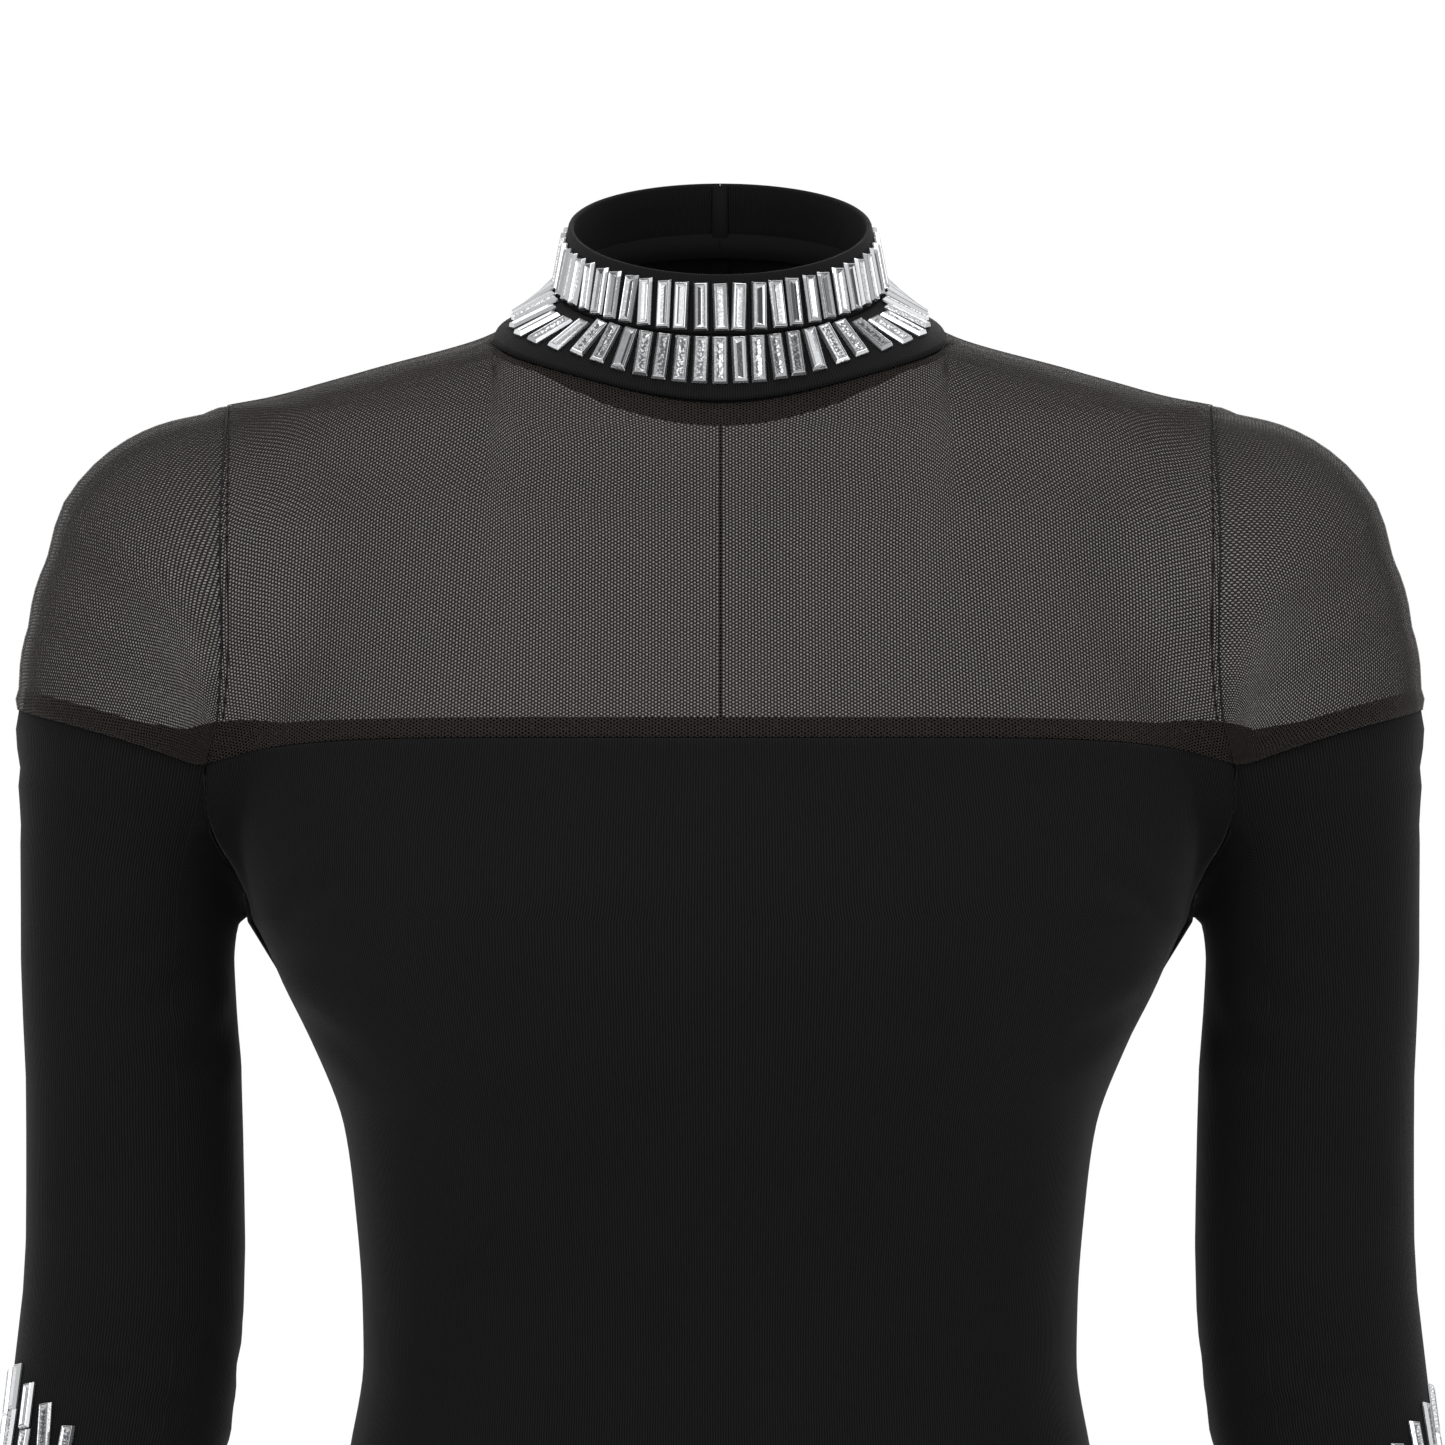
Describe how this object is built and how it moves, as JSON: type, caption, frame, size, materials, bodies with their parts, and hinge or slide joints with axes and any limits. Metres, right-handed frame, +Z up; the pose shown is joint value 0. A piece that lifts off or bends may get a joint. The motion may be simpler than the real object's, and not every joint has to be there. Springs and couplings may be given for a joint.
{
  "type": "long sleeve dress",
  "caption": "Fitted knee-length dress in its worn, hollow form, with long sleeves, a net yoke and a stone-set stand collar.",
  "frame": {"origin": "middle of the neck, level with its two sides, where the wearer's neck and shoulders hold the dress", "axes": "+Z up, the front faces -Y, +X to the right as seen from the front"},
  "size_m": [0.5152, 0.2329, 0.941],
  "materials": {
    "jersey": "fine ribbed black jersey, matt",
    "net": "sheer black stretch net",
    "band": "ribbed black band set with clear foiled baguette stones",
    "metal": "black enamelled zip metal"
  },
  "bodies": {
    "dress": {"collar_upper": "band", "collar_lower": "band", "yoke_front": "net", "yoke_back_left": "net", "yoke_back_right": "net", "sleeve_cap_left": "net", "sleeve_cap_right": "net", "sleeve_left": "jersey", "sleeve_right": "jersey", "front_panel": "jersey", "back_panel_left": "jersey", "back_panel_right": "jersey", "zip_slider": "metal"},
    "pull": {"zip_pull": "metal"}
  },
  "joints": [
    {"name": "pull_hinge", "type": "hinge", "parent": "dress", "child": "pull", "pos_m": [0, 0.07196, 0.00237], "axis": [1, 0, 0], "range_deg": [0, 120]}
  ]
}
